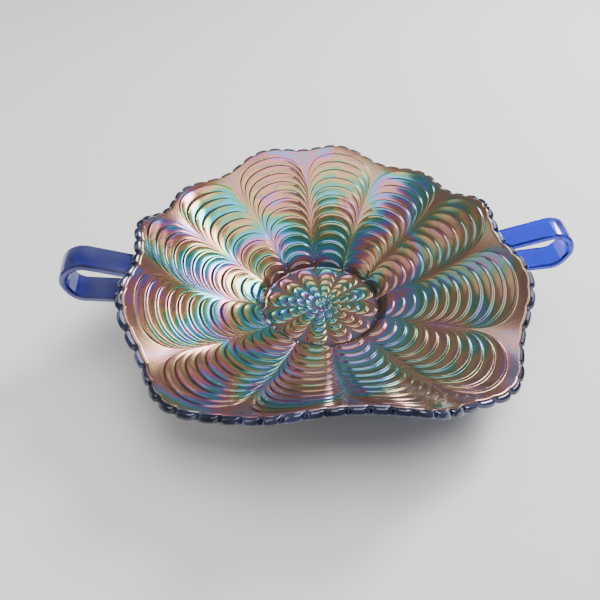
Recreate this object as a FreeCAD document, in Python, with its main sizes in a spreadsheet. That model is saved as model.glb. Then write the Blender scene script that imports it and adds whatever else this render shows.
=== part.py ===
"""Two-handled bonbon bowl in pressed glass, with a crimped, notched rim.

Frame: origin at the centre of the circle the collar foot rests on, +Z up, +X through the middle of one
handle, +Y towards the back. Millimetres and degrees.

The inside of the bowl is a surface of two numbers: the arc length out from the centre, and the azimuth. The
floor is flat, a short well wall rises round it, and beyond that the slope changes evenly with arc length from
a lower slope to an upper slope. Both slopes vary with azimuth, and that is what ruffles the rim.
"""

import FreeCAD
import Part
import Sketcher
import math
import os

DIMENSIONS = (
    ("floor_level", 9.5, "height of the inner floor above the table"),
    ("floor_radius", 22.6, "radius of the flat inner floor"),
    ("well_rise", 3.2, "rise, and run, of the well wall round the floor"),
    ("glass_thickness", 3.2, "thickness of floor, wall and rim, square to the inside"),
    ("joint_lean", 35.0, "lean of the face where the floor meets the wall"),
    ("foot_top_radius", 26.0, "outer radius of the foot where it meets the floor"),
    ("foot_outer_radius", 27.0, "outer radius of the foot at the table"),
    ("foot_width", 3.6, "width of the foot ring"),
    ("foot_rounding", 0.8, "rounding of the foot's two bottom edges"),
    ("rim_arc", 78.1, "mean arc length from the centre to the rim"),
    ("rim_arc_twofold", -0.4, "change of rim arc length, two waves round the bowl"),
    ("rim_arc_threefold", -1.5, "change of rim arc length, three waves round the bowl"),
    ("rim_arc_scallop", -1.9, "change of rim arc length, twelve waves: longest in the middle of each petal"),
    ("band_width", 2.8, "width of the notched rim band"),
    ("notch_count", 72.0, "notches round the rim"),
    ("notch_radius", 0.9, "radius of each notch"),
    ("lower_slope", 20.5, "mean slope at the foot of the wall"),
    ("lower_slope_right", 4.9, "extra lower slope at the right, and less at the left"),
    ("lower_slope_back", 20.8, "extra lower slope at the back, and less at the front"),
    ("lower_slope_twofold", -3.5, "lower slope, two waves round the bowl"),
    ("lower_slope_skew", 2.5, "lower slope, two waves turned by 45 degrees"),
    ("upper_arc", 80.0, "arc length at which the wall has its upper slope"),
    ("upper_slope", 33.6, "mean upper slope"),
    ("upper_slope_right", -7.5, "extra upper slope at the right, and less at the left"),
    ("upper_slope_back", -9.5, "extra upper slope at the back, and less at the front"),
    ("upper_slope_twofold", 6.7, "upper slope, two waves round the bowl"),
    ("upper_slope_skew", 3.1, "upper slope, two waves turned by 45 degrees"),
    ("upper_slope_threefold", 9.2, "upper slope, three waves round the bowl"),
    ("upper_slope_fourfold", 14.1, "upper slope, four waves: up at the handles, front and back"),
    ("handle_width", 12.0, "width of the handle strap"),
    ("strap_thickness", 2.8, "thickness of the handle strap"),
    ("strap_top_x", 60.0, "upper strap's buried end, from the bowl's axis"),
    ("strap_top_z", 33.4, "upper strap's buried end, height of its upper side"),
    ("crest_x", 84.4, "handle's crest, as a sharp corner"),
    ("crest_z", 43.6, "handle's crest, height"),
    ("tip_x", 92.4, "handle's outermost corner"),
    ("tip_z", 37.2, "handle's outermost corner, height"),
    ("heel_x", 88.4, "handle's lower corner"),
    ("heel_z", 26.6, "handle's lower corner, height"),
    ("strap_low_x", 38.0, "lower strap's buried end, from the bowl's axis"),
    ("strap_low_z", 15.4, "lower strap's buried end, height of its lower side"),
    ("outer_bend", 7.4, "radius of the handle's bends on the outside"),
    ("inner_bend", 4.6, "radius of the handle's bends on the inside"),
    ("handle_root", 66.0, "distance from the bowl's axis of the line that a handle is turned about"),
    ("left_turn", 4.0, "turn of the left handle, seen from above, anticlockwise"),
    ("right_turn", -10.0, "turn of the right handle, seen from above, anticlockwise"),
    ("right_out", 2.0, "how much further out the right handle stands"),
    ("right_up", 1.6, "how much higher the right handle stands"),
)

# How finely the ruffled surfaces are drawn: points round the bowl, and along the arc.
COLUMNS = 72
WALL_ROWS = 11
BAND_ROWS = 3
# Sectors that a ruffled ring is closed in, one for each petal.
SECTORS = 12
# Arc length over which the glass's thickness turns from the joint's lean to square with the wall.
LEAN_BLEND = 12.0
# The block that trims a handle: its half angle round the bowl, in degrees, and its height.
TRIM_HALF_ANGLE = 20.0
TRIM_HEIGHT = 60.0
# Gaps up to this are closed when faces are sewn, and corners within it are the same corner.
SEWING_GAP = 1e-3
SAME_PLACE = 1e-2


def make_sheet(doc):
    """Write the driving dimensions to a spreadsheet, one alias to each."""
    sheet = doc.addObject("Spreadsheet::Sheet", "Sheet")
    for row, (alias, value, meaning) in enumerate(DIMENSIONS, start=1):
        sheet.set(f"A{row}", meaning)
        sheet.set(f"B{row}", str(value))
        sheet.setAlias(f"B{row}", alias)
    doc.recompute()
    return sheet


# The glass surface -----------------------------------------------------------------------------------------


def smooth_step(x):
    """0 below 0, 1 above 1, and a smooth cubic between."""
    x = min(max(x, 0.0), 1.0)
    return x * x * (3.0 - 2.0 * x)


class Ruffle:
    """The inside surface of the wall, and the outside offset from it by the glass thickness."""

    def __init__(self, sheet):
        self.sheet = sheet
        self.start_arc = sheet.floor_radius + math.sqrt(2.0) * sheet.well_rise
        self.start_radius = sheet.floor_radius + sheet.well_rise
        self.start_level = sheet.floor_level + sheet.well_rise

    def lower_slope(self, azimuth):
        """Slope, in radians, where the wall leaves the well."""
        s = self.sheet
        slope = s.lower_slope + s.lower_slope_right * math.cos(azimuth) + s.lower_slope_back * math.sin(azimuth)
        slope += s.lower_slope_twofold * math.cos(2 * azimuth) + s.lower_slope_skew * math.sin(2 * azimuth)
        return math.radians(slope)

    def upper_slope(self, azimuth):
        """Slope, in radians, at the upper arc length."""
        s = self.sheet
        slope = s.upper_slope + s.upper_slope_right * math.cos(azimuth) + s.upper_slope_back * math.sin(azimuth)
        slope += s.upper_slope_twofold * math.cos(2 * azimuth) + s.upper_slope_skew * math.sin(2 * azimuth)
        slope += s.upper_slope_threefold * math.sin(3 * azimuth)
        slope += s.upper_slope_fourfold * math.cos(4 * azimuth)
        return math.radians(slope)

    def well_arc(self, azimuth):
        """Arc length from the bowl's centre to the top of the well wall, the same all round."""
        return self.start_arc

    def rim_arc(self, azimuth):
        """Arc length from the bowl's centre to the rim."""
        s = self.sheet
        arc = s.rim_arc + s.rim_arc_twofold * math.cos(2 * azimuth)
        return arc + s.rim_arc_threefold * math.sin(3 * azimuth) + s.rim_arc_scallop * math.cos(12 * azimuth)

    def band_arc(self, azimuth):
        """Arc length from the bowl's centre to where the wall ends and the rim band starts."""
        return self.rim_arc(azimuth) - self.sheet.band_width

    def section(self, arc, azimuth):
        """Radius, height and slope of the inside at one arc length: the slope's integral along the arc."""
        low = self.lower_slope(azimuth)
        rate = (self.upper_slope(azimuth) - low) / (self.sheet.upper_arc - self.start_arc)
        slope = low + rate * (arc - self.start_arc)
        run = arc - self.start_arc
        if abs(rate) > 1e-6:
            radius = (math.sin(slope) - math.sin(low)) / rate
            height = (math.cos(low) - math.cos(slope)) / rate
        else:
            radius = run * math.cos(low)
            height = run * math.sin(low)
        return self.start_radius + radius, self.start_level + height, slope

    def point(self, arc, azimuth, depth):
        """A point at a depth into the glass. The depth's lean eases from the joint's to the wall's own."""
        radius, height, slope = self.section(arc, azimuth)
        share = smooth_step((arc - self.start_arc) / LEAN_BLEND)
        lean = (1.0 - share) * math.radians(self.sheet.joint_lean) + share * slope
        radius += depth * math.sin(lean)
        height -= depth * math.cos(lean)
        return FreeCAD.Vector(radius * math.cos(azimuth), radius * math.sin(azimuth), height)

    def surface(self, first_arc, last_arc, rows, depth, seam=0.0):
        """A spline surface all the way round from its seam, through a grid of points between two arc lengths."""
        grid = []
        for column in range(COLUMNS + 1):
            azimuth = seam + 2.0 * math.pi * (column % COLUMNS) / COLUMNS
            near, far = first_arc(azimuth), last_arc(azimuth)
            arcs = (near + (far - near) * row / (rows - 1) for row in range(rows))
            grid.append([self.point(arc, azimuth, depth) for arc in arcs])
        surface = Part.BSplineSurface()
        surface.interpolate(grid)
        return surface


def border(face, surface, at_last_row):
    """The edge of a sector face that lies along its first or its last row."""
    u_low, u_high, v_low, v_high = face.ParameterRange
    middle = surface.value((u_low + u_high) / 2.0, v_high if at_last_row else v_low)
    return min(face.Edges, key=lambda edge: edge.distToShape(Part.Vertex(middle))[0])


def ring_of_glass(inside, outside):
    """Close an inside and an outside surface into one solid ring, a sector at a time."""
    u_low, u_high, v_low, v_high = inside.bounds()
    turns = [u_low + (u_high - u_low) * sector / SECTORS for sector in range(SECTORS + 1)]
    o_low, o_high, p_low, p_high = outside.bounds()
    outer_turns = [o_low + (o_high - o_low) * sector / SECTORS for sector in range(SECTORS + 1)]
    faces = []
    for sector in range(SECTORS):
        inner = inside.toShape(turns[sector], turns[sector + 1], v_low, v_high)
        outer = outside.toShape(outer_turns[sector], outer_turns[sector + 1], p_low, p_high)
        faces += [inner, outer]
        for at_last_row in (False, True):
            edges = border(inner, inside, at_last_row), border(outer, outside, at_last_row)
            faces.append(Part.makeRuledSurface(*edges))
    shell = Part.makeShell(faces)
    shell.sewShape(SEWING_GAP)
    solid = Part.Solid(shell)
    return solid if solid.Volume > 0 else solid.reversed()


def make_wall(doc, ruffle):
    """The ruffled wall, from the well up to the rim band."""
    sheet = ruffle.sheet
    inside = ruffle.surface(ruffle.well_arc, ruffle.band_arc, WALL_ROWS, 0.0)
    outside = ruffle.surface(ruffle.well_arc, ruffle.band_arc, WALL_ROWS, sheet.glass_thickness)
    wall = doc.addObject("Part::Feature", "bowl_wall")
    wall.Shape = ring_of_glass(inside, outside)
    return wall


def make_rim_band(doc, ruffle):
    """The band that ends the wall, with round notches cut square through its edge."""
    sheet = ruffle.sheet
    inside = ruffle.surface(ruffle.band_arc, ruffle.rim_arc, BAND_ROWS, 0.0)
    outside = ruffle.surface(ruffle.band_arc, ruffle.rim_arc, BAND_ROWS, sheet.glass_thickness)
    plain = doc.addObject("Part::Feature", "plain_band")
    plain.Shape = ring_of_glass(inside, outside)
    count = int(sheet.notch_count)
    cutters = []
    for index in range(count):
        azimuth = 2.0 * math.pi * (index + 0.5) / count
        arc = ruffle.rim_arc(azimuth)
        top = ruffle.point(arc, azimuth, -sheet.glass_thickness)
        bottom = ruffle.point(arc, azimuth, 2.0 * sheet.glass_thickness)
        along = bottom - top
        cutters.append(Part.makeCylinder(sheet.notch_radius, along.Length, top, along))
    notches = doc.addObject("Part::Feature", "rim_notches")
    notches.Shape = Part.makeCompound(cutters)
    band = doc.addObject("Part::Cut", "rim_band")
    band.Base = plain
    band.Tool = notches
    return band


# Turned and padded pieces ----------------------------------------------------------------------------------


def origin_plane(body, role):
    """One of a body's own origin planes or axes, by its role."""
    return next(item for item in body.Origin.OriginFeatures if item.Role == role)


def sketch_outline(body, name, corners):
    """Draw a closed outline on a body's XZ plane, each corner bound to the sheet.

    A corner is (x, z, x expression, z expression); an expression of None holds the corner on that axis.
    """
    sketch = body.newObject("Sketcher::SketchObject", name)
    sketch.AttachmentSupport = [(origin_plane(body, "XZ_Plane"), "")]
    sketch.MapMode = "FlatFace"
    points = [FreeCAD.Vector(x, z, 0) for x, z, _, _ in corners]
    for index, point in enumerate(points):
        sketch.addGeometry(Part.LineSegment(point, points[(index + 1) % len(points)]), False)
    for index in range(len(points)):
        sketch.addConstraint(Sketcher.Constraint("Coincident", index, 2, (index + 1) % len(points), 1))
    for index, (x, z, x_rule, z_rule) in enumerate(corners):
        for kind, value, rule, axis in (("DistanceX", x, x_rule, -2), ("DistanceY", z, z_rule, -1)):
            if rule is None:
                sketch.addConstraint(Sketcher.Constraint("PointOnObject", index, 1, axis))
                continue
            number = sketch.addConstraint(Sketcher.Constraint(kind, -1, 1, index, 1, value))
            sketch.renameConstraint(number, f"{kind[-1].lower()}_{index}")
            sketch.setExpression(f"Constraints.{kind[-1].lower()}_{index}", rule)
    return sketch


def turn(body, sketch):
    """Revolve an outline once round the bowl's axis."""
    turned = body.newObject("PartDesign::Revolution", f"{body.Name}_turn")
    turned.Profile = sketch
    turned.ReferenceAxis = (sketch, ["V_Axis"])
    turned.Angle = 360.0
    return turned


def make_floor(doc, sheet):
    """The flat centre with the well wall round it, as one turned disc."""
    lean = math.radians(sheet.joint_lean)
    level, radius, rise = sheet.floor_level, sheet.floor_radius, sheet.well_rise
    thick = sheet.glass_thickness
    body = doc.addObject("PartDesign::Body", "bowl_floor")
    start_x = "Sheet.floor_radius + Sheet.well_rise"
    start_z = "Sheet.floor_level + Sheet.well_rise"
    under = "Sheet.floor_level - Sheet.glass_thickness"
    joint_x = start_x + " + Sheet.glass_thickness * sin(Sheet.joint_lean * 1 deg)"
    joint_z = start_z + " - Sheet.glass_thickness * cos(Sheet.joint_lean * 1 deg)"
    corners = (
        (0.0, level - thick, None, under),
        (sheet.foot_top_radius, level - thick, "Sheet.foot_top_radius", under),
        (radius + rise + thick * math.sin(lean), level + rise - thick * math.cos(lean), joint_x, joint_z),
        (radius + rise, level + rise, start_x, start_z),
        (radius, level, "Sheet.floor_radius", "Sheet.floor_level"),
        (0.0, level, None, "Sheet.floor_level"),
    )
    turn(body, sketch_outline(body, "floor_outline", corners))
    return body


def make_foot(doc, sheet):
    """The collar foot: a slightly flared ring with rounded bottom edges."""
    top, outer, width = sheet.foot_top_radius, sheet.foot_outer_radius, sheet.foot_width
    height = sheet.floor_level - sheet.glass_thickness
    body = doc.addObject("PartDesign::Body", "collar_foot")
    under = "Sheet.floor_level - Sheet.glass_thickness"
    corners = (
        (outer - width, 0.0, "Sheet.foot_outer_radius - Sheet.foot_width", None),
        (outer, 0.0, "Sheet.foot_outer_radius", None),
        (top, height, "Sheet.foot_top_radius", under),
        (top - width, height, "Sheet.foot_top_radius - Sheet.foot_width", under),
    )
    turned = turn(body, sketch_outline(body, "foot_outline", corners))
    doc.recompute()
    low = [f"Edge{n}" for n, edge in enumerate(turned.Shape.Edges, start=1) if edge.BoundBox.ZMax < SAME_PLACE]
    rounded = body.newObject("PartDesign::Fillet", "foot_rounding")
    rounded.Base = (turned, low)
    rounded.setExpression("Radius", "Sheet.foot_rounding")
    body.Tip = rounded
    return body


def sketch_strap(body, sheet):
    """Draw the handle's side view: an outer line of five bound corners, and an inner line parallel to it."""
    sketch = body.newObject("Sketcher::SketchObject", f"{body.Name}_side")
    sketch.AttachmentSupport = [(origin_plane(body, "XZ_Plane"), "")]
    sketch.MapMode = "FlatFace"
    names = ("strap_top", "crest", "tip", "heel", "strap_low")
    outer = [(getattr(sheet, f"{name}_x"), getattr(sheet, f"{name}_z")) for name in names]
    points = [FreeCAD.Vector(x, z, 0) for x, z in outer + inner_corners(outer, sheet.strap_thickness)[::-1]]
    count = len(points)
    for index, point in enumerate(points):
        sketch.addGeometry(Part.LineSegment(point, points[(index + 1) % count]), False)
    for index in range(count):
        sketch.addConstraint(Sketcher.Constraint("Coincident", index, 2, (index + 1) % count, 1))
    for index, name in enumerate(names):
        for kind, letter, value in zip(("DistanceX", "DistanceY"), "xz", outer[index]):
            number = sketch.addConstraint(Sketcher.Constraint(kind, -1, 1, index, 1, value))
            sketch.renameConstraint(number, f"{name}_{letter}")
            sketch.setExpression(f"Constraints.{name}_{letter}", f"Sheet.{name}_{letter}")
    runs = len(names) - 1
    for run in range(runs):
        inner = count - 2 - run
        sketch.addConstraint(Sketcher.Constraint("Parallel", run, inner))
        number = sketch.addConstraint(Sketcher.Constraint("Distance", inner, 2, run, sheet.strap_thickness))
        sketch.renameConstraint(number, f"thickness_{run}")
        sketch.setExpression(f"Constraints.thickness_{run}", "Sheet.strap_thickness")
    for end in (runs, count - 1):
        sketch.addConstraint(Sketcher.Constraint("Vertical", end))
    return sketch


def inner_corners(outer, thickness):
    """First guess at the inner line's corners: each outer corner moved in, square to its two runs."""
    corners = []
    for index, (x, z) in enumerate(outer):
        before, after = outer[max(index - 1, 0)], outer[min(index + 1, len(outer) - 1)]
        heading = math.atan2(after[1] - before[1], after[0] - before[0])
        corners.append((x + thickness * math.sin(heading), z - thickness * math.cos(heading)))
    return corners


def bend_edges(shape, corners, reach):
    """Names of the edges across the strap that pass within reach of any of the (x, z) corners."""
    names = []
    for number, edge in enumerate(shape.Edges, start=1):
        box = edge.BoundBox
        across = box.XLength < SAME_PLACE and box.ZLength < SAME_PLACE
        if across and any(math.hypot(box.XMin - x, box.ZMin - z) < reach for x, z in corners):
            names.append(f"Edge{number}")
    return names


def make_strap(doc, sheet, name):
    """One handle before trimming: a padded strip with its six bends rounded."""
    body = doc.addObject("PartDesign::Body", name)
    sketch = sketch_strap(body, sheet)
    pad = body.newObject("PartDesign::Pad", f"{name}_pad")
    pad.Profile = sketch
    pad.SideType = "Symmetric"
    pad.setExpression("Length", "Sheet.handle_width")
    doc.recompute()
    bends = [(getattr(sheet, f"{bend}_x"), getattr(sheet, f"{bend}_z")) for bend in ("crest", "tip", "heel")]
    outer = body.newObject("PartDesign::Fillet", f"{name}_outer_bends")
    outer.Base = (pad, bend_edges(pad.Shape, bends, SAME_PLACE))
    outer.setExpression("Radius", "Sheet.outer_bend")
    doc.recompute()
    inner = body.newObject("PartDesign::Fillet", f"{name}_inner_bends")
    inner.Base = (outer, bend_edges(outer.Shape, bends, 2.0 * sheet.strap_thickness))
    inner.setExpression("Radius", "Sheet.inner_bend")
    body.Tip = inner
    return body


def place_handle(sheet, azimuth, turn, out, up):
    """Where a strap drawn along +X goes: turned about its root, and then moved out and up."""
    facing = FreeCAD.Rotation(FreeCAD.Vector(0, 0, 1), math.degrees(azimuth))
    turned = FreeCAD.Rotation(FreeCAD.Vector(0, 0, 1), math.degrees(azimuth) + turn)
    root = FreeCAD.Vector(sheet.handle_root, 0, 0)
    base = facing.multVec(root) - turned.multVec(root) + turned.multVec(FreeCAD.Vector(out, 0, up))
    return FreeCAD.Placement(base, turned)


def make_handles(doc, ruffle):
    """Both handles, each a strap trimmed to the outside of the glass that it grows from."""
    sheet = ruffle.sheet
    sides = (("left", math.pi, sheet.left_turn, 0.0, 0.0),
             ("right", 0.0, sheet.right_turn, sheet.right_out, sheet.right_up))
    handles = []
    for side, azimuth, turn, out, up in sides:
        outside = ruffle.surface(ruffle.well_arc, ruffle.rim_arc, WALL_ROWS, sheet.glass_thickness,
                                 azimuth - math.pi)
        u_low, u_high, v_low, v_high = outside.bounds()
        share = (u_high - u_low) * TRIM_HALF_ANGLE / 360.0
        middle = (u_low + u_high) / 2.0
        patch = outside.toShape(middle - share, middle + share, v_low, v_high)
        trim = doc.addObject("Part::Feature", f"inside_{side}")
        trim.Shape = patch.extrude(FreeCAD.Vector(0, 0, TRIM_HEIGHT))
        strap = make_strap(doc, sheet, f"strap_{side}")
        strap.Placement = place_handle(sheet, azimuth, turn, out, up)
        handle = doc.addObject("Part::Cut", f"handle_{side}")
        handle.Base = strap
        handle.Tool = trim
        handles.append(handle)
    return handles


def check(doc, pieces):
    """Stop if any object of the document failed, or any piece isn't one valid solid."""
    for item in doc.Objects:
        if "Invalid" in item.State or "Error" in item.State:
            raise RuntimeError(f"{item.Name} failed: {item.State}")
    for piece in pieces:
        if piece.Shape.isNull() or not piece.Shape.isValid() or len(piece.Shape.Solids) != 1:
            raise RuntimeError(f"{piece.Name} isn't one valid solid")


def main():
    """Build the bowl and write one STEP file for each piece."""
    doc = FreeCAD.newDocument("bonbon_bowl")
    sheet = make_sheet(doc)
    ruffle = Ruffle(sheet)
    pieces = [make_floor(doc, sheet), make_foot(doc, sheet), make_wall(doc, ruffle), make_rim_band(doc, ruffle)]
    pieces += make_handles(doc, ruffle)
    doc.recompute()
    check(doc, pieces)
    os.makedirs("parts", exist_ok=True)
    for piece in pieces:
        piece.Label = piece.Name
        piece.Shape.exportStep(f"parts/{piece.Label}.step")
        print(f"{piece.Label}: {piece.Shape.Volume:.0f} mm3")


main()
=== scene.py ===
"""Two-handled bonbon bowl in pressed cobalt glass with an iridised inside.

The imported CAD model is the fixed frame. The visible glass is drawn again in numpy on the same ruffled
surface, with the pressed pattern on the inside: twelve petals of nested arcs, a small rosette of the same
petals on the floor, and a row of rounded lugs along the rim.
"""

import logging
import math
from dataclasses import dataclass, field
from enum import Enum
from typing import Any, Optional

import bpy
import numpy as np
from mathutils import Matrix, Vector


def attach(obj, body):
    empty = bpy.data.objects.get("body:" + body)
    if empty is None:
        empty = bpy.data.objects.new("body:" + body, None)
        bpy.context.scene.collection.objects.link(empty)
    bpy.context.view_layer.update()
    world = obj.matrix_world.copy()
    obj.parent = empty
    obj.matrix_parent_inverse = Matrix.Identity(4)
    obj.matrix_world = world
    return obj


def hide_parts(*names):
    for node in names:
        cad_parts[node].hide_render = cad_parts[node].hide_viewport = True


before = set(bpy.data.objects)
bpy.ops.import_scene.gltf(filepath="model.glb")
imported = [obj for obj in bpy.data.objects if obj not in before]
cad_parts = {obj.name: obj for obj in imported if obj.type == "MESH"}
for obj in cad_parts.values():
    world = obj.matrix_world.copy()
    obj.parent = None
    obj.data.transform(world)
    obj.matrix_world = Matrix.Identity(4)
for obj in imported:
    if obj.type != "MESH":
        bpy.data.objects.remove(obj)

LOG = logging.getLogger("bonbon_bowl")
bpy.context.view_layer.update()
MILLIMETRE = 0.001


# ---------------------------------------------------------------------------------------------------------
# Colour and node helpers
# ---------------------------------------------------------------------------------------------------------


def linear(hex_colour: str) -> tuple[float, float, float, float]:
    """Turn an sRGB hex colour into the linear values that shaders take.

    Args:
        hex_colour: six hex digits after a hash.

    Returns:
        Linear red, green and blue, and an alpha of one.
    """
    values = [int(hex_colour[i:i + 2], 16) / 255.0 for i in (1, 3, 5)]
    return tuple(v / 12.92 if v <= 0.04045 else ((v + 0.055) / 1.055) ** 2.4 for v in values) + (1.0,)


def add_node(tree: bpy.types.NodeTree, kind: str, inputs: Optional[dict[Any, Any]] = None,
             **settings: Any) -> bpy.types.Node:
    """Add one node with its settings, values and links.

    Args:
        tree: the node tree to add to.
        kind: the node's type name.
        inputs: socket name or index to a value, or to the socket that feeds it.
        **settings: the node's own properties.

    Returns:
        The new node.
    """
    node = tree.nodes.new(kind)
    for name, value in settings.items():
        setattr(node, name, value)
    for key, value in (inputs or {}).items():
        if isinstance(value, bpy.types.NodeSocket):
            tree.links.new(value, node.inputs[key])
        else:
            node.inputs[key].default_value = value
    return node


def fill_ramp(node: bpy.types.Node, stops: tuple[tuple[float, str], ...]) -> bpy.types.Node:
    """Give a colour ramp its stops.

    Args:
        node: the ramp.
        stops: each stop's place, from 0 to 1, and sRGB hex colour.

    Returns:
        The same node.
    """
    ramp = node.color_ramp
    while len(ramp.elements) < len(stops):
        ramp.elements.new(0.5)
    for element, (place, colour) in zip(ramp.elements, stops):
        element.position = place
        element.color = linear(colour)
    return node


def new_tree(name: str) -> tuple[bpy.types.Material, bpy.types.NodeTree, bpy.types.Node]:
    """Start a material with an empty tree but for its output.

    Args:
        name: the material's name.

    Returns:
        The material, its tree and its output node.
    """
    material = bpy.data.materials.new(name)
    material.use_nodes = True
    tree = material.node_tree
    tree.nodes.clear()
    return material, tree, add_node(tree, "ShaderNodeOutputMaterial")


# ---------------------------------------------------------------------------------------------------------
# Mesh helpers
# ---------------------------------------------------------------------------------------------------------


def smooth_step(x: np.ndarray) -> np.ndarray:
    """The cubic 3x^2 - 2x^3, held at 0 below 0 and at 1 above 1."""
    x = np.clip(x, 0.0, 1.0)
    return x * x * (3.0 - 2.0 * x)


def grid_quads(rows: int, columns: int, wrap_rows: bool, wrap_columns: bool) -> np.ndarray:
    """Corner numbers of the quads of a grid whose vertices are numbered row by row.

    Args:
        rows: vertices down the grid.
        columns: vertices across the grid.
        wrap_rows: whether the last row joins the first.
        wrap_columns: whether the last column joins the first.

    Returns:
        One row of four vertex numbers for each quad.
    """
    row = np.arange(rows if wrap_rows else rows - 1)[:, None]
    column = np.arange(columns if wrap_columns else columns - 1)[None, :]
    below, beside = (row + 1) % rows, (column + 1) % columns
    corners = (row * columns + column, row * columns + beside,
               below * columns + beside, below * columns + column)
    return np.stack(corners, axis=-1).reshape(-1, 4)


def fan_triangles(ring: np.ndarray, pole: int, backwards: bool) -> np.ndarray:
    """Triangles that close a ring of vertices onto one pole vertex.

    Args:
        ring: vertex numbers in order round the ring.
        pole: the pole's vertex number.
        backwards: whether to turn the triangles over.

    Returns:
        One row of three vertex numbers for each triangle.
    """
    following = np.roll(ring, -1)
    poles = np.full_like(ring, pole)
    pair = (following, ring) if backwards else (ring, following)
    return np.stack((*pair, poles), axis=-1)


def signed_volume(points: np.ndarray, triangles: np.ndarray) -> float:
    """Volume inside a closed mesh, positive when its faces point outwards: the sum of a . (b x c) / 6."""
    a, b, c = (points[triangles[:, corner]] for corner in range(3))
    return float(np.einsum("ij,ij->", a, np.cross(b, c)) / 6.0)


def make_piece(name: str, points: np.ndarray, quads: np.ndarray, triangles: Optional[np.ndarray] = None,
               quad_finish: Optional[np.ndarray] = None, sharp_angle: float = 62.0) -> bpy.types.Object:
    """Make an object from arrays in millimetres, with its faces turned outwards.

    Args:
        name: the piece's name.
        points: one row of x, y, z for each vertex.
        quads: vertex numbers of the quads.
        triangles: vertex numbers of any triangles.
        quad_finish: material number of each quad; triangles take that of the first quad.
        sharp_angle: edges that turn by more than this, in degrees, are shaded sharp.

    Returns:
        The new object, linked to the scene.
    """
    triangles = np.zeros((0, 3), int) if triangles is None else triangles
    halves = np.concatenate((quads[:, [0, 1, 2]], quads[:, [0, 2, 3]], triangles))
    if signed_volume(points, halves) < 0.0:
        quads, triangles = quads[:, ::-1], triangles[:, ::-1]
    mesh = bpy.data.meshes.new(name)
    mesh.from_pydata((points * MILLIMETRE).tolist(), [], quads.tolist() + triangles.tolist())
    if quad_finish is not None:
        finish = np.concatenate((quad_finish, np.full(len(triangles), quad_finish[0])))
        mesh.polygons.foreach_set("material_index", finish.astype(np.int32))
    mesh.shade_smooth()
    mesh.set_sharp_from_angle(angle=math.radians(sharp_angle))
    mesh.update()
    piece = bpy.data.objects.new(name, mesh)
    bpy.context.scene.collection.objects.link(piece)
    return piece


def add_attribute(piece: bpy.types.Object, name: str, values: np.ndarray) -> None:
    """Store one number for each vertex under a name that materials can read.

    Args:
        piece: the object.
        name: the attribute's name.
        values: one number for each vertex.
    """
    attribute = piece.data.attributes.new(name, "FLOAT", "POINT")
    attribute.data.foreach_set("value", np.ascontiguousarray(values, dtype=np.float32).ravel())


# ---------------------------------------------------------------------------------------------------------
# The ruffled surface and the pressed pattern
# ---------------------------------------------------------------------------------------------------------


def polar(radius: np.ndarray, azimuth: np.ndarray, height: np.ndarray) -> np.ndarray:
    """Points from radius, azimuth in radians and height."""
    return np.stack((radius * np.cos(azimuth), radius * np.sin(azimuth), height), -1)


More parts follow.
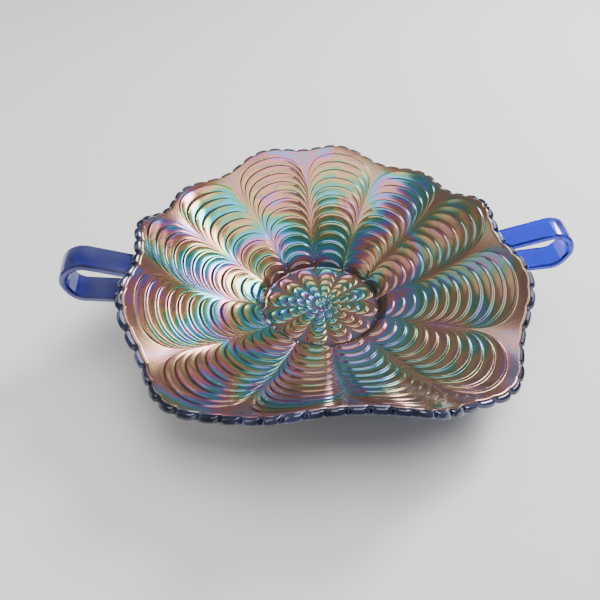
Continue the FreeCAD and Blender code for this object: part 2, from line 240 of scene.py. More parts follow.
@dataclass(frozen=True)
class Ruffle:
    """The inside of the bowl as a surface of arc length from the centre and azimuth, as in the CAD model.

    The floor is flat, the well wall rises at 45 degrees, and then the slope changes evenly with arc length,
    from a lower slope to an upper slope, both of which vary with azimuth. Millimetres and degrees.
    """

    floor_level: float = 9.5
    floor_radius: float = 22.6
    well_rise: float = 3.2
    thickness: float = 3.2
    joint_lean: float = 35.0
    lean_blend: float = 12.0
    rim_mean: float = 78.1
    rim_twofold: float = -0.4
    rim_threefold: float = -1.5
    rim_scallop: float = -1.9
    band_width: float = 2.8
    lower: float = 20.5
    lower_right: float = 4.9
    lower_back: float = 20.8
    lower_twofold: float = -3.5
    lower_skew: float = 2.5
    upper_arc: float = 80.0
    upper: float = 33.6
    upper_right: float = -7.5
    upper_back: float = -9.5
    upper_twofold: float = 6.7
    upper_skew: float = 3.1
    upper_threefold: float = 9.2
    upper_fourfold: float = 14.1

    @property
    def well_arc(self) -> float:
        """Arc length at the top of the well wall."""
        return self.floor_radius + math.sqrt(2.0) * self.well_rise

    def rim_arc(self, azimuth: np.ndarray) -> np.ndarray:
        """Arc length at the rim: a mean plus waves of two and three, and a scallop to each petal."""
        return (self.rim_mean + self.rim_twofold * np.cos(2 * azimuth)
                + self.rim_threefold * np.sin(3 * azimuth) + self.rim_scallop * np.cos(12 * azimuth))

    def section(self, arc: np.ndarray, azimuth: np.ndarray) -> tuple[np.ndarray, np.ndarray, np.ndarray]:
        """Radius, height and slope of the inside.

        On the wall the slope is linear in arc length, so radius and height are the integrals of its cosine
        and sine: (sin b - sin a) / rate and (cos a - cos b) / rate.

        Args:
            arc: arc length from the centre.
            azimuth: angle round the bowl, in radians.

        Returns:
            Radius, height and slope in radians.
        """
        low = np.radians(self.lower + self.lower_right * np.cos(azimuth) + self.lower_back * np.sin(azimuth)
                         + self.lower_twofold * np.cos(2 * azimuth) + self.lower_skew * np.sin(2 * azimuth))
        high = np.radians(self.upper + self.upper_right * np.cos(azimuth) + self.upper_back * np.sin(azimuth)
                          + self.upper_twofold * np.cos(2 * azimuth) + self.upper_skew * np.sin(2 * azimuth)
                          + self.upper_threefold * np.sin(3 * azimuth)
                          + self.upper_fourfold * np.cos(4 * azimuth))
        rate = (high - low) / (self.upper_arc - self.well_arc)
        rate = np.where(np.abs(rate) < 1e-6, 1e-6, rate)
        slope = low + rate * np.maximum(arc - self.well_arc, 0.0)
        on_well = np.clip(arc - self.floor_radius, 0.0, self.well_arc - self.floor_radius) / math.sqrt(2.0)
        radius = np.minimum(arc, self.floor_radius) + on_well + (np.sin(slope) - np.sin(low)) / rate
        height = self.floor_level + on_well + (np.cos(low) - np.cos(slope)) / rate
        slope = np.where(arc < self.well_arc, math.radians(45.0), slope)
        return radius, height, np.where(arc < self.floor_radius, 0.0, slope)

    def inside(self, arc: np.ndarray, azimuth: np.ndarray, relief: np.ndarray) -> np.ndarray:
        """Points of the inside, raised by the relief along the surface's own normal."""
        radius, height, slope = self.section(arc, azimuth)
        return polar(radius - relief * np.sin(slope), azimuth, height + relief * np.cos(slope))

    def within(self, arc: np.ndarray, azimuth: np.ndarray, depth: np.ndarray) -> np.ndarray:
        """Points at a depth into the glass; the depth's lean eases from the joint's to the wall's own."""
        radius, height, slope = self.section(arc, azimuth)
        share = smooth_step((arc - self.well_arc) / self.lean_blend)
        lean = (1.0 - share) * math.radians(self.joint_lean) + share * slope
        return polar(radius + depth * np.sin(lean), azimuth, height - depth * np.cos(lean))


@dataclass(frozen=True)
class ArcPattern:
    """Petals of nested arcs, all the same shape at different sizes.

    Across a petal the offset u runs from -1 to 1 between its two valleys. An arc whose tip is at arc length t
    lies at t * (1 - droop * -ln(1 - hug * u^2)), so its legs sweep in towards the valleys. Outwards, each arc
    is a crest with a steep wall on its outer side and then a long hollow that rises to the next crest.
    """

    petals: int = 12
    outermost: float = 74.6
    spacing: float = 4.14
    droop: float = 0.088
    hug: float = 0.943
    height: float = 0.56
    wall_share: float = 0.15
    puff: float = 0.6
    puff_fades_from: float = 24.0
    puff_fades_over: float = 46.0

    def squeeze(self, u: np.ndarray) -> np.ndarray:
        """How far in an arc lies at offset u, as a share of its tip's arc length."""
        return 1.0 + self.droop * np.log(1.0 - self.hug * u * u)

    def offset(self, azimuth: np.ndarray) -> np.ndarray:
        """Offset u across the petal at an azimuth; valleys lie at whole steps from the handle."""
        turn = azimuth * self.petals / (2.0 * math.pi)
        return 2.0 * (turn - np.floor(turn)) - 1.0

    def crowding(self, u: np.ndarray) -> np.ndarray:
        """Spacing of the arcs, square to themselves, as a share of their spacing at the tip."""
        lean = 2.0 * self.droop * self.hug * u / (1.0 - self.hug * u * u)
        half_petal = math.pi / self.petals
        return self.squeeze(u) / np.sqrt(1.0 + (lean / (half_petal * self.squeeze(u))) ** 2)

    def crest(self, tip: np.ndarray) -> np.ndarray:
        """Height of the ridges from 0 to 1: a steep fall just outside each arc, then a concave rise."""
        count = (tip - self.outermost) / self.spacing
        phase = count - np.floor(count)
        fall = 1.0 - smooth_step(phase / self.wall_share)
        rise = np.clip((phase - self.wall_share) / (1.0 - self.wall_share), 0.0, 1.0) ** 1.6
        outside = 1.0 - smooth_step(count / self.wall_share)
        return np.where(count > 0.0, outside, fall + rise)

    def relief(self, tip: np.ndarray, u: np.ndarray) -> np.ndarray:
        """Height of the pattern: the ridges, lower where they crowd, on petals puffed up between valleys."""
        fade = 1.0 - smooth_step((tip - self.puff_fades_from) / self.puff_fades_over)
        ridges = self.height * self.crest(tip) * np.minimum(self.crowding(u) * 1.25, 1.0)
        return ridges + self.puff * fade * (1.0 - u * u) ** 0.6


class Finish(Enum):
    """Which of a glass piece's two finishes a face takes."""

    LUSTRE = 0
    COBALT = 1


# ---------------------------------------------------------------------------------------------------------
# Finishes
# ---------------------------------------------------------------------------------------------------------


@dataclass(frozen=True)
class IridisedLustre:
    """Pressed glass sprayed hot with metal salts: a thin clear metallic film over dark blue glass.

    To the eye it is a satin mirror whose tint runs through the interference colours as the film's thickness
    changes: in patches a few fingertips wide, from one arc to the next, and across each arc's hollow. The
    steep wall outside each arc is painted dark, as painted shade for the dark that it reflects, and a ring in
    the corner of the well is painted dark as painted shade too. Towards one side the colours are greyer and
    more even, and the painted shade on the walls is weaker there.
    """

    name: str = "iridised_lustre"
    film: tuple[tuple[float, str], ...] = (
        (0.00, "#7c655a"), (0.11, "#ab6f52"), (0.22, "#ab5f76"), (0.33, "#8262a4"), (0.43, "#3f7dba"),
        (0.52, "#2095a6"), (0.62, "#1f8273"), (0.72, "#538259"), (0.82, "#91854b"), (0.91, "#b07a4d"),
        (1.00, "#7c655a"),
    )
    # Painted shade: the dark put on the steep wall outside each arc and on the corner ring of the well.
    wall: str = "#191420"
    margin: str = "#8a6358"
    # The grey colour that the film's tint turns towards, on the side away from rich_side.
    thin: str = "#6c5f5c"
    patch_mm: float = 26.0
    streak_mm: float = 6.0
    roughness: float = 0.19
    metallic: float = 0.8
    first_turn: float = -0.6
    turns_in_patches: float = 2.6
    turns_in_streaks: float = 0.28
    turns_per_arc: float = 0.1
    turns_at_random: float = 0.12
    turns_across_arc: float = 0.4
    well_edge: float = 23.0
    # Radius of the painted shade ring in the corner between floor and well wall, in mm.
    """Radius of the dark corner between floor and well wall, in mm."""
    rich_side: tuple[float, float, float] = (-0.85, 0.45, 0.0)
    # Direction in which the film's colours stay full; towards the opposite side they turn greyer.
    """Direction in which the spray lay thickest; the opposite side is greyer."""
    grey_shares: tuple[float, float] = (0.55, 0.05)
    # Share of the grey colour on the grey side and on the rich side.
    """Share of the thin film's colour on the grey side and on the rich side."""
    margin_share: float = 0.55
    # Share of painted shade at the middle of the corner ring.
    corner_shade_share: float = 0.6

    def build(self) -> bpy.types.Material:
        """Make the material.

        Film thickness, in turns of the colour ramp, is the sum of a broad noise, a finer one, a share of the
        arc count, a random step for each arc and a share of the place between two arcs.

        Returns:
            The material.
        """
        material, tree, output = new_tree(self.name)
        place = add_node(tree, "ShaderNodeTexCoord").outputs["Object"]
        count = add_node(tree, "ShaderNodeAttribute", attribute_name="arc_count").outputs["Fac"]
        patches = add_node(tree, "ShaderNodeTexNoise", {
            "Vector": place, "Scale": 1.0 / (self.patch_mm * MILLIMETRE), "Detail": 1.0, "Roughness": 0.4,
            "Distortion": 0.4}).outputs["Fac"]
        streaks = add_node(tree, "ShaderNodeTexNoise", {
            "Vector": place, "Scale": 1.0 / (self.streak_mm * MILLIMETRE), "Detail": 1.5,
            "Distortion": 0.8}).outputs["Fac"]
        which_arc = add_node(tree, "ShaderNodeMath", {0: count}, operation="FLOOR").outputs[0]
        phase = add_node(tree, "ShaderNodeMath", {0: count}, operation="FRACT").outputs[0]
        arc_noise = add_node(tree, "ShaderNodeTexWhiteNoise", {"W": which_arc},
                             noise_dimensions="1D").outputs["Value"]
        thickness = self.first_turn
        for value, share in ((patches, self.turns_in_patches), (streaks, self.turns_in_streaks),
                             (which_arc, self.turns_per_arc), (arc_noise, self.turns_at_random),
                             (phase, self.turns_across_arc)):
            thickness = add_node(tree, "ShaderNodeMath", {0: value, 1: share, 2: thickness},
                                 operation="MULTIPLY_ADD").outputs[0]
        order = add_node(tree, "ShaderNodeMath", {0: thickness}, operation="FRACT").outputs[0]
        tint = fill_ramp(add_node(tree, "ShaderNodeValToRGB", {0: order}), self.film).outputs["Color"]
        # Mask of the steep wall outside each arc, where the painted shade goes.
        on_wall = add_node(tree, "ShaderNodeMapRange", {
            "Value": phase, "From Min": 0.1, "From Max": 0.2, "To Min": 1.0, "To Max": 0.0},
            interpolation_type="SMOOTHSTEP").outputs[0]
        inside = add_node(tree, "ShaderNodeMath", {0: count, 1: 0.3}, operation="LESS_THAN").outputs[0]
        on_wall = add_node(tree, "ShaderNodeMath", {0: on_wall, 1: inside}, operation="MULTIPLY").outputs[0]
        # Greyer towards the side away from rich_side.
        towards = add_node(tree, "ShaderNodeVectorMath", {0: place, 1: self.rich_side},
                           operation="DOT_PRODUCT").outputs["Value"]
        grey = add_node(tree, "ShaderNodeMapRange", {
            "Value": towards, "From Min": -0.06, "From Max": 0.05, "To Min": self.grey_shares[0],
            "To Max": self.grey_shares[1]}).outputs[0]
        tint = add_node(tree, "ShaderNodeMix", {0: grey, 6: tint, 7: linear(self.thin)},
                        data_type="RGBA").outputs[2]
        # Strength of the painted shade on the walls: weaker towards the grey side.
        wall_shade_strength = add_node(tree, "ShaderNodeMath", {0: grey, 1: -1.1, 2: 0.85},
                            operation="MULTIPLY_ADD").outputs[0]
        on_wall = add_node(tree, "ShaderNodeMath", {0: on_wall, 1: wall_shade_strength}, operation="MULTIPLY").outputs[0]
        # Painted shade: a dark ring, by radius, in the corner between the floor and the well wall.
        flat_place = add_node(tree, "ShaderNodeVectorMath", {0: place, 1: (1.0, 1.0, 0.0)},
                              operation="MULTIPLY").outputs[0]
        radius = add_node(tree, "ShaderNodeVectorMath", {0: flat_place}, operation="LENGTH").outputs["Value"]
        edge = add_node(tree, "ShaderNodeMath", {0: radius, 1: self.well_edge * MILLIMETRE},
                        operation="SUBTRACT").outputs[0]
        edge = add_node(tree, "ShaderNodeMath", {0: edge}, operation="ABSOLUTE").outputs[0]
        painted_corner_shade = add_node(tree, "ShaderNodeMapRange", {
            "Value": edge, "From Min": 0.2 * MILLIMETRE, "From Max": 3.0 * MILLIMETRE,
            "To Min": self.corner_shade_share, "To Max": 0.0},
            interpolation_type="SMOOTHSTEP").outputs[0]
        tint = add_node(tree, "ShaderNodeMix", {0: painted_corner_shade, 6: tint, 7: linear(self.wall)},
                        data_type="RGBA").outputs[2]
        on_margin = add_node(tree, "ShaderNodeMapRange", {
            "Value": count, "From Min": 0.15, "From Max": 1.4, "To Min": 0.0,
            "To Max": self.margin_share}).outputs[0]
        colour = add_node(tree, "ShaderNodeMix", {0: on_margin, 6: tint, 7: linear(self.margin)},
                          data_type="RGBA").outputs[2]
        # Painted shade on the steep walls.
        colour = add_node(tree, "ShaderNodeMix", {0: on_wall, 6: colour, 7: linear(self.wall)},
                          data_type="RGBA").outputs[2]
        roughness = add_node(tree, "ShaderNodeMapRange", {
            "Value": streaks, "To Min": self.roughness - 0.06, "To Max": self.roughness + 0.08}).outputs[0]
        shader = add_node(tree, "ShaderNodeBsdfPrincipled", {
            "Base Color": colour, "Metallic": self.metallic, "Roughness": roughness, "Coat Weight": 0.4,
            "Coat Roughness": 0.08})
        tree.links.new(shader.outputs[0], output.inputs["Surface"])
        return material


@dataclass(frozen=True)
class CobaltGlass:
    """Pressed cobalt glass, fire polished: deep blue by transmitted light, near black where it is thick."""

    name: str = "cobalt_glass"
    colour: str = "#1f36e6"
    deep: str = "#1a2cc8"
    film: str = "#8f93c8"
    transmission: float = 1.0
    roughness: float = 0.03
    film_weight: float = 0.08
    ripples_per_metre: float = 130.0
    ripple_depth_mm: float = 0.4
    patches_per_metre: float = 70.0

    def build(self) -> bpy.types.Material:
        """Make the material: blue glass, clear or thick, with a little of the film's grey-violet sheen.

        Returns:
            The material.
        """
        material, tree, output = new_tree(self.name)
        place = add_node(tree, "ShaderNodeTexCoord").outputs["Object"]
        ripple = add_node(tree, "ShaderNodeTexNoise", {
            "Vector": place, "Scale": self.ripples_per_metre, "Detail": 2.0}).outputs["Fac"]
        bump = add_node(tree, "ShaderNodeBump", {
            "Height": ripple, "Strength": 0.15, "Distance": self.ripple_depth_mm * MILLIMETRE}).outputs[0]
        shade = add_node(tree, "ShaderNodeMix", {0: ripple, 6: linear(self.colour), 7: linear(self.deep)},
                         data_type="RGBA").outputs[2]
        glass = add_node(tree, "ShaderNodeBsdfPrincipled", {
            "Base Color": shade, "Roughness": self.roughness, "IOR": 1.52,
            "Transmission Weight": self.transmission, "Coat Weight": 0.3, "Coat Roughness": 0.04,
            "Normal": bump})
        sheen = add_node(tree, "ShaderNodeBsdfPrincipled", {
            "Base Color": linear(self.film), "Metallic": 0.9, "Roughness": 0.22, "Normal": bump})
        patches = add_node(tree, "ShaderNodeTexNoise", {
            "Vector": place, "Scale": self.patches_per_metre, "Detail": 1.0}).outputs["Fac"]
        where = add_node(tree, "ShaderNodeMapRange", {
            "Value": patches, "From Min": 0.42, "From Max": 0.7, "To Min": 0.0,
            "To Max": self.film_weight * 2.0}).outputs[0]
        both = add_node(tree, "ShaderNodeMixShader", {0: where, 1: glass.outputs[0], 2: sheen.outputs[0]})
        tree.links.new(both.outputs[0], output.inputs["Surface"])
        return material


# ---------------------------------------------------------------------------------------------------------
# Pieces
# ---------------------------------------------------------------------------------------------------------


@dataclass
class GlassPiece:
    """What every piece shares: its name, the CAD node that it stands for and its finishes."""

    name: str
    node: str
    slot: str
    finishes: list[bpy.types.Material] = field(default_factory=list)

    def settle(self, piece: bpy.types.Object) -> bpy.types.Object:
        """Dress the piece and tie it to the frame.

        Args:
            piece: the finished object.

        Returns:
            The same object.
        """
        for material in self.finishes:
            piece.data.materials.append(material)
        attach(piece, "root")
        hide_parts(self.node)
        LOG.info("%s: %d faces", self.name, len(piece.data.polygons))
        return piece


@dataclass
class PetalWall(GlassPiece):
    """The flared wall with its twelve petals of arcs inside, and a smooth outside."""

    ruffle: Ruffle = field(default_factory=Ruffle)
    pattern: ArcPattern = field(default_factory=ArcPattern)
    columns_per_petal: int = 56
    well_rows: int = 26
    margin_rows: int = 12
    outside_rows: int = 10
    first_arc: int = -9
    phases: tuple[float, ...] = (0.0, 0.06, 0.13, 0.2, 0.27, 0.42, 0.6, 0.8)
    """Places of the rows between one arc and the next, crowded on the steep wall."""
    valley_crowding: float = 0.94

    def columns(self) -> tuple[np.ndarray, np.ndarray]:
        """Azimuth and petal offset of each column, crowded towards the valleys by a sine."""
        step = np.arange(self.columns_per_petal) * 2.0 / self.columns_per_petal - 1.0
        reach = self.valley_crowding * math.pi / 2.0
        u = np.sin(step * reach) / math.sin(reach)
        petal = np.arange(self.pattern.petals)[:, None]
        azimuth = (petal + (u[None, :] + 1.0) / 2.0) * 2.0 * math.pi / self.pattern.petals
        return azimuth.ravel(), np.tile(u, self.pattern.petals)

    def arc_rows(self, azimuth: np.ndarray, u: np.ndarray) -> np.ndarray:
        """Arc length of every inside vertex: rows that follow the arcs, eased into circles at both ends."""
        squeeze = self.pattern.squeeze(u)
        counts = np.arange(self.first_arc, 0)[:, None] + np.array(self.phases)[None, :]
        tips = self.pattern.outermost + self.pattern.spacing * np.append(counts.ravel(), 0.0)
        along = tips[:, None] * squeeze[None, :]
        share = np.linspace(0.0, 1.0, self.well_rows, endpoint=False)[:, None]
        low = self.ruffle.well_arc + (along[0] - self.ruffle.well_arc) * share
        end = self.ruffle.rim_arc(azimuth) - self.ruffle.band_width
        share = np.linspace(0.0, 1.0, self.margin_rows + 1)[1:, None] ** 1.5
        high = along[-1] + (end - along[-1]) * share
        return np.concatenate((low, along, high))

    def build(self) -> bpy.types.Object:
        """Make the wall: inside rows out to the rim band, outside rows back to the well, joined all round.

        Returns:
            The finished piece.
        """
        azimuth, u = self.columns()
        arc = self.arc_rows(azimuth, u)
        spread = np.broadcast_to(azimuth, arc.shape)
        tip = arc / self.pattern.squeeze(u)
        lift = self.pattern.relief(tip, u)
        inside = self.ruffle.inside(arc, spread, lift)
        back = np.linspace(1.0, 0.0, self.outside_rows)[:, None]
        outer_arc = arc[0] + (arc[-1] - arc[0]) * back
        outside = self.ruffle.within(outer_arc, np.broadcast_to(azimuth, outer_arc.shape),
                                     self.ruffle.thickness)
        points = np.concatenate((inside, outside))
        quads = grid_quads(len(points), len(azimuth), True, True)
        row = quads.min(axis=1) // len(azimuth)
        finish = np.where(row < len(inside) - 1, Finish.LUSTRE.value, Finish.COBALT.value)
        piece = make_piece(self.name, points.reshape(-1, 3), quads, quad_finish=finish)
        count = (tip - self.pattern.outermost) / self.pattern.spacing
        add_attribute(piece, "arc_count", np.concatenate((count, np.zeros(outer_arc.shape))))
        return self.settle(piece)


@dataclass
class RosetteFloor(GlassPiece):
    """The flat floor with its small rosette, the well wall round it, and the plain underside."""

    ruffle: Ruffle = field(default_factory=Ruffle)
    pattern: ArcPattern = field(default_factory=ArcPattern)
    rosette: ArcPattern = field(default_factory=lambda: ArcPattern(
        outermost=21.0, spacing=3.6, droop=0.2, height=0.66, wall_share=0.24, puff=0.0, puff_fades_from=18.0,
        puff_fades_over=4.0))
    rows: int = 84
    columns_per_petal: int = 28
    underside: tuple[float, ...] = (26.0, 20.0, 10.0)
    """Radii of the underside's rings, from the joint inwards."""
    hand_over: tuple[float, float] = (21.0, 23.2)
    """Arc lengths between which the wall's pattern fades in."""
    fade_out: tuple[float, float] = (21.4, 22.8)
    """Arc lengths between which the rosette fades out."""
    first_count: float = -10.0
    """Arc count of the rosette's outermost arc, well below the wall's, for the film's colours."""

    def build(self) -> bpy.types.Object:
        """Make the floor as rings from one pole, on top, to the other, underneath.

        Returns:
            The finished piece.
        """
        columns = self.pattern.petals * self.columns_per_petal
        azimuth = np.arange(columns) * 2.0 * math.pi / columns
        arc = np.linspace(0.0, self.ruffle.well_arc, self.rows + 1)[1:, None] * np.ones(columns)
        spread = np.broadcast_to(azimuth, arc.shape)
        u = self.pattern.offset(azimuth)
        on_wall = smooth_step((arc - self.hand_over[0]) / (self.hand_over[1] - self.hand_over[0]))
        on_floor = 1.0 - smooth_step((arc - self.fade_out[0]) / (self.fade_out[1] - self.fade_out[0]))
        wall_tip, floor_tip = arc / self.pattern.squeeze(u), arc / self.rosette.squeeze(u)
        lift = on_wall * self.pattern.relief(wall_tip, u) + on_floor * self.rosette.relief(floor_tip, u)
        top = self.ruffle.inside(arc, spread, lift)
        under_joint = self.ruffle.within(arc[-1:], spread[-1:], self.ruffle.thickness)
        bottom = self.ruffle.floor_level - self.ruffle.thickness
        radii = np.array(self.underside)[:, None] * np.ones(columns)
        rings = np.concatenate((under_joint, polar(radii, azimuth, np.full(radii.shape, bottom))))
        grid = np.concatenate((top, rings))
        poles = np.array([[0.0, 0.0, self.ruffle.floor_level], [0.0, 0.0, bottom]])
        points = np.concatenate((grid.reshape(-1, 3), poles))
        quads = grid_quads(len(grid), columns, False, True)
        ring = np.arange(columns)
        last = (len(grid) - 1) * columns
        fans = np.concatenate((fan_triangles(ring, len(points) - 2, True),
                               fan_triangles(ring + last, len(points) - 1, False)))
        finish = np.where(quads[:, 0] // columns < self.rows - 1, Finish.LUSTRE.value, Finish.COBALT.value)
        piece = make_piece(self.name, points, quads, fans, quad_finish=finish)
        ends = np.zeros(columns * len(rings) + len(poles))
        count = np.where(arc > self.ruffle.floor_radius,
                         (wall_tip - self.pattern.outermost) / self.pattern.spacing,
                         (floor_tip - self.rosette.outermost) / self.rosette.spacing + self.first_count)
        add_attribute(piece, "arc_count", np.concatenate((count.ravel(), ends)))
        return self.settle(piece)


@dataclass
class LuggedRim(GlassPiece):
    """The band that ends the wall: a thin wavy lip inside, and a row of rounded lugs round the edge."""

    ruffle: Ruffle = field(default_factory=Ruffle)
    lugs: int = 72
    lug_reach: float = 1.1
    gap_share: float = 0.15
    lip_wave: float = 0.55
    lip_rounding: float = 0.25
    inset: float = 0.06
    """How far the lugs stop short of the rim's own arc length, in mm."""
    margin_count: float = 1.6
    """Arc count given to the lip, so that it takes the margin's colour."""
    across: tuple[float, ...] = (-1.0, -0.94, -0.86, -0.76, -0.6, -0.3, 0.0, 0.3, 0.6, 0.76, 0.86, 0.94)
    down: tuple[float, ...] = (0.0, 0.08, 0.18, 0.26, 0.34, 0.45, 0.6, 0.75, 0.86, 0.94, 1.0)

    def lug(self, across: np.ndarray, down: np.ndarray) -> np.ndarray:
        """Pillow height of a lug, 0 to 1: a sixth-power dome across times a fifth-power one down the edge."""
        x = np.clip(np.abs(across) / (1.0 - self.gap_share), 0.0, 1.0)
        y = np.clip(np.abs(down - 0.6) / 0.4, 0.0, 1.0)
        return (1.0 - x ** 6) ** 0.5 * (1.0 - y ** 5) ** 0.5

    def build(self) -> bpy.types.Object:
        """Make the band: in along the lip, down over the lugs, back along the outside and up the joint.

        The lip swells and draws in once to each lug, by a wave that is 1 at its middle and 0 in the gap.

        Returns:
            The finished piece.
        """
        across = np.tile(np.array(self.across), self.lugs)
        turn = (np.arange(self.lugs)[:, None] + (np.array(self.across)[None, :] + 1.0) / 2.0) / self.lugs
        azimuth = (turn.ravel() - 0.5 / self.lugs) * 2.0 * math.pi
        wave = np.cos(across * math.pi / 2.0) ** 0.8
        edge = self.ruffle.rim_arc(azimuth) - self.inset
        thick = self.ruffle.thickness
        down = np.array(self.down)[:, None]
        swell = self.lug_reach * self.lug(across[None, :], down)
        lip = self.lip_wave * (1.0 - wave)
        rounding = self.lip_rounding * (1.0 - smooth_step(down / 0.1))
        face = edge - self.lug_reach - lip * (1.0 - 0.5 * down) - rounding + swell
        depth = 0.06 * thick + down * thick * (0.78 + 0.16 * wave)
        inner = np.array((self.ruffle.band_width, 2.3, 1.75))[:, None]
        outer = np.array((1.7, 2.3, self.ruffle.band_width))[:, None]
        flat = np.ones_like(azimuth)
        inner_arcs = edge - inner * flat - lip * np.array((0.0, 0.4, 1.0))[:, None]
        outer_arcs = edge - outer * flat
        joint = self.ruffle.rim_arc(azimuth) - self.ruffle.band_width
        inner_arcs[0], outer_arcs[-1] = joint, joint
        arcs = np.concatenate((inner_arcs, face, outer_arcs))
        under = thick * np.array((0.95, 1.0, 1.0))[:, None]
        depths = np.concatenate((0.0 * inner * flat, depth * flat, under * flat))
        points = self.ruffle.within(arcs, np.broadcast_to(azimuth, arcs.shape), depths)
        quads = grid_quads(len(points), len(azimuth), True, True)
        row = quads[:, 0] // len(azimuth)
        finish = np.where(row < len(inner) + 1, Finish.LUSTRE.value, Finish.COBALT.value)
        piece = make_piece(self.name, points.reshape(-1, 3), quads, quad_finish=finish)
        add_attribute(piece, "arc_count", np.full(points.shape[:2], self.margin_count))
        return self.settle(piece)


@dataclass
class CollarFoot(GlassPiece):
    """The ring that the bowl stands on, turned from a rounded outline."""

    columns: int = 144
    outline: tuple[tuple[float, float], ...] = (
        (22.4, 6.3), (23.2, 0.9), (23.5, 0.3), (24.1, 0.0), (26.2, 0.0), (26.8, 0.3), (26.95, 0.9),
        (26.6, 2.6), (26.0, 5.4), (26.0, 6.3))
    """Radius and height round the ring's section."""

    def build(self) -> bpy.types.Object:
        """Turn the outline once round.

        Returns:
            The finished piece.
        """
        radius, height = np.array(self.outline).T
        azimuth = np.arange(self.columns) * 2.0 * math.pi / self.columns
        points = polar(radius[:, None], azimuth, height[:, None] * np.ones_like(azimuth))
        quads = grid_quads(len(radius), self.columns, True, True)
        return self.settle(make_piece(self.name, points.reshape(-1, 3), quads))


@dataclass
class LoopHandle(GlassPiece):
    """A flat strap bent into an ear: up and out from under the rim, round, and back to the wall low down."""

    facing: float = 0.0
    turn: float = 0.0
    out: float = 0.0
    up: float = 0.0
    root: float = 66.0
    width: float = 11.8
    thickness: float = 2.8
    bend: float = 6.2
    bevel: float = 0.8
    crown: float = 0.3
    high_end: float = 62.2
    low_end: float = 47.0
    path: tuple[tuple[float, float], ...] = ((84.1, 41.9), (90.8, 36.6), (87.2, 27.8))
    """Corners of the strap's middle line, as distance from the bowl's axis and height."""
    high_slope: float = 0.415
    low_slope: float = 0.222

    def middle_line(self) -> tuple[np.ndarray, np.ndarray]:
        """Points and unit tangents of the middle line, with each corner replaced by an arc.

        An arc of radius r that turns by t starts r tan(t / 2) before its corner, and its points are the start
        plus r sin(a) along the first run and r (1 - cos(a)) towards the second.

        Returns:
            Points and tangents, each one row of x and z for each station.
        """
        (crest_x, crest_z), (heel_x, heel_z) = self.path[0], self.path[-1]
        start = (self.high_end, crest_z - (crest_x - self.high_end) * self.high_slope)
        finish = (self.low_end, heel_z - (heel_x - self.low_end) * self.low_slope)
        corners = np.array((start, *self.path, finish))
        runs = np.diff(corners, axis=0)
        heads = runs / np.linalg.norm(runs, axis=1)[:, None]
        points, tangents = [corners[:1]], [heads[:1]]
        for corner, first, second in zip(corners[1:-1], heads[:-1], heads[1:]):
            side = math.copysign(1.0, first[0] * second[1] - first[1] * second[0])
            turn = math.acos(float(np.clip(first @ second, -1.0, 1.0)))
            across = side * np.array((-first[1], first[0]))
            start = corner - first * self.bend * math.tan(turn / 2.0)
            angle = np.linspace(0.0, turn, 11)[:, None]
            points.append(start + self.bend * (np.sin(angle) * first + (1.0 - np.cos(angle)) * across))
            tangents.append(np.cos(angle) * first + np.sin(angle) * across)
        return np.concatenate((*points, corners[-1:])), np.concatenate((*tangents, heads[-1:]))

    def place(self, points: np.ndarray) -> np.ndarray:
        """Turn points drawn along +X about the root, and move them out and up to this handle's side."""
        facing, turned = math.radians(self.facing), math.radians(self.facing + self.turn)
        x, y = points[:, 0] - self.root + self.out, points[:, 1]
        placed_x = self.root * math.cos(facing) + x * math.cos(turned) - y * math.sin(turned)
        placed_y = self.root * math.sin(facing) + x * math.sin(turned) + y * math.cos(turned)
        return np.stack((placed_x, placed_y, points[:, 2] + self.up), -1)

    def section(self) -> np.ndarray:
        """The strap's section, as width and thickness: crowned faces, and bevels along all four edges."""
        half, deep, cut = self.width / 2.0, self.thickness / 2.0, self.bevel
        flat = np.linspace(-1.0, 1.0, 7)
        crowned = deep - self.crown * flat ** 2 * 0.5
        top = np.stack((flat * (half - cut), crowned), -1)
        right = np.array(((half - 0.15, deep - cut), (half, 0.0), (half - 0.15, -deep + cut)))
        return np.concatenate((top, right, -top, -right))

    def build(self) -> bpy.types.Object:
        """Carry the section along the middle line and close both buried ends.

        Returns:
            The finished piece.
        """
        line, tangent = self.middle_line()
        normal = np.stack((-tangent[:, 1], tangent[:, 0]), -1)
        section = self.section()
        placed = line[:, None, :] + section[None, :, 1:] * normal[:, None, :]
        across = np.broadcast_to(section[None, :, 0], placed.shape[:2])
        grid = np.stack((placed[..., 0], across, placed[..., 1]), -1)
        ends = np.stack((line[[0, -1], 0], np.zeros(2), line[[0, -1], 1]), -1)
        points = self.place(np.concatenate((grid.reshape(-1, 3), ends)))
        count = len(section)
        quads = grid_quads(len(line), count, False, True)
        ring = np.arange(count)
        fans = np.concatenate((fan_triangles(ring, len(points) - 2, True),
                               fan_triangles(ring + (len(line) - 1) * count, len(points) - 1, False)))
        return self.settle(make_piece(self.name, points, quads, fans, sharp_angle=28.0))


# ---------------------------------------------------------------------------------------------------------
# Studio
# ---------------------------------------------------------------------------------------------------------


@dataclass(frozen=True)
class SoftLight:
    """A square soft light, aimed at the bowl."""

    name: str
    place: tuple[float, float, float]
    size: float
    watts: float
    colour: str = "#ffffff"

    def build(self, target: Vector) -> None:
        """Hang the light and turn it to the target."""
        data = bpy.data.lights.new(self.name, "AREA")
        data.shape, data.size, data.energy = "SQUARE", self.size, self.watts
        data.color = linear(self.colour)[:3]
        lamp = bpy.data.objects.new(self.name, data)
        lamp.location = self.place
        lamp.rotation_euler = (target - lamp.location).to_track_quat("-Z", "Y").to_euler()
        bpy.context.scene.collection.objects.link(lamp)


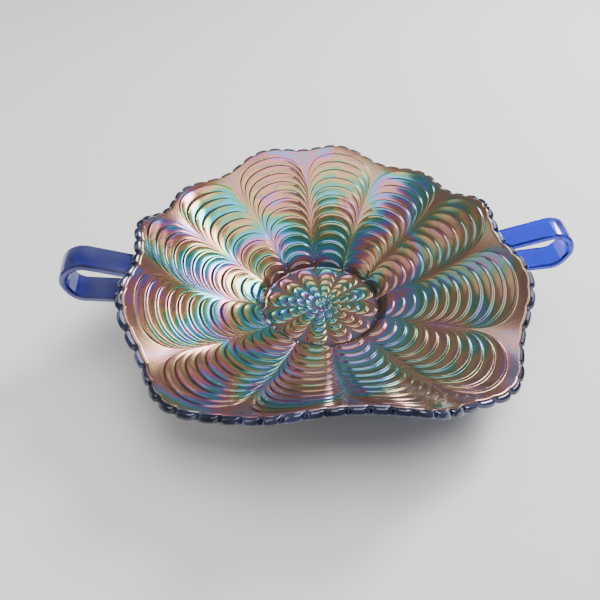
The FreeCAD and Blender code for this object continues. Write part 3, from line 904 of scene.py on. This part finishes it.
@dataclass(frozen=True)
class Studio:
    """Pale floor, soft lights and the camera."""

    floor_half: float = 2.0
    floor_colour: str = "#f4f3f1"
    sky_colour: str = "#cfd2d6"
    sky_strength: float = 0.58
    focal_share: float = 0.905
    """Focal length as a share of the picture's width."""
    distance: float = 0.2147
    elevation: float = 44.1
    azimuth: float = 9.8
    roll: float = 2.5
    shift: tuple[float, float] = (-0.0367, 0.0067)
    lights: tuple[SoftLight, ...] = (
        SoftLight("window_light", (0.52, 0.44, 0.56), 0.26, 7.5, "#fbfdff"),
        SoftLight("overhead_light", (0.14, -0.02, 0.84), 0.75, 7.0),
        SoftLight("left_light", (-0.72, 0.1, 0.42), 0.5, 1.5, "#f3e6d3"),
    )

    def floor(self) -> None:
        """Lay the floor."""
        half = self.floor_half
        mesh = bpy.data.meshes.new("floor")
        corners = [(-half, -half, 0), (half, -half, 0), (half, half, 0), (-half, half, 0)]
        mesh.from_pydata(corners, [], [(0, 1, 2, 3)])
        ground = bpy.data.objects.new("floor", mesh)
        material, tree, output = new_tree("studio_floor")
        shader = add_node(tree, "ShaderNodeBsdfPrincipled", {
            "Base Color": linear(self.floor_colour), "Roughness": 0.6})
        tree.links.new(shader.outputs[0], output.inputs["Surface"])
        mesh.materials.append(material)
        bpy.context.scene.collection.objects.link(ground)

    def sky(self) -> None:
        """Light the room evenly."""
        world = bpy.data.worlds.new("studio_sky")
        world.use_nodes = True
        background = world.node_tree.nodes["Background"]
        background.inputs["Color"].default_value = linear(self.sky_colour)
        background.inputs["Strength"].default_value = self.sky_strength
        bpy.context.scene.world = world

    def camera(self, target: Vector) -> None:
        """Place the camera on a sphere about the target, look at it, then roll."""
        rise, turn = math.radians(self.elevation), math.radians(self.azimuth)
        back = Vector((-math.cos(rise) * math.sin(turn), -math.cos(rise) * math.cos(turn), math.sin(rise)))
        data = bpy.data.cameras.new("camera")
        data.lens = self.focal_share * data.sensor_width
        data.shift_x, data.shift_y = self.shift
        data.clip_start = 0.01
        body = bpy.data.objects.new("camera", data)
        look = (-back).to_track_quat("-Z", "Y").to_matrix().to_4x4()
        body.matrix_world = (Matrix.Translation(target + back * self.distance) @ look
                             @ Matrix.Rotation(math.radians(self.roll), 4, "Z"))
        bpy.context.scene.collection.objects.link(body)
        bpy.context.scene.camera = body

    def build(self, target: Vector) -> None:
        """Set up everything round the bowl."""
        self.floor()
        self.sky()
        for light in self.lights:
            light.build(target)
        self.camera(target)


def main() -> None:
    """Build the studio and then the bowl, from the middle outwards."""
    logging.basicConfig(level=logging.INFO, format="%(name)s: %(message)s")
    ruffle = Ruffle()
    Studio().build(Vector((0.0, 0.0, ruffle.floor_level * MILLIMETRE)))
    lustre, cobalt = IridisedLustre().build(), CobaltGlass().build()
    thick = CobaltGlass("thick_cobalt_glass", "#0d1738", "#070b1c", transmission=0.25,
                        film_weight=0.12).build()
    # A darker copy of the cobalt glass for the left handle: its darker blue is painted shade, and its
    # stronger film sheen is the handle's own lustre.
    sprayed = CobaltGlass("shaded_sprayed_cobalt_glass", "#0f1c9c", "#0a1262", film_weight=0.3).build()
    both = [lustre, thick]
    RosetteFloor("rosette_floor", "bowl_floor", "iridised_glass", both, ruffle).build()
    PetalWall("petal_wall", "bowl_wall", "iridised_glass", both, ruffle).build()
    LuggedRim("lugged_rim", "rim_band", "cobalt_glass", both, ruffle).build()
    CollarFoot("turned_foot", "collar_foot", "cobalt_glass", [thick]).build()
    LoopHandle("loop_handle_right", "handle_right", "cobalt_glass", [cobalt], facing=0.0, turn=-10.0, out=2.0,
               up=1.6, high_end=65.0, low_end=44.0).build()
    LoopHandle("loop_handle_left", "handle_left", "cobalt_glass", [sprayed], facing=180.0, turn=4.0).build()


if __name__ == "__main__":
    main()
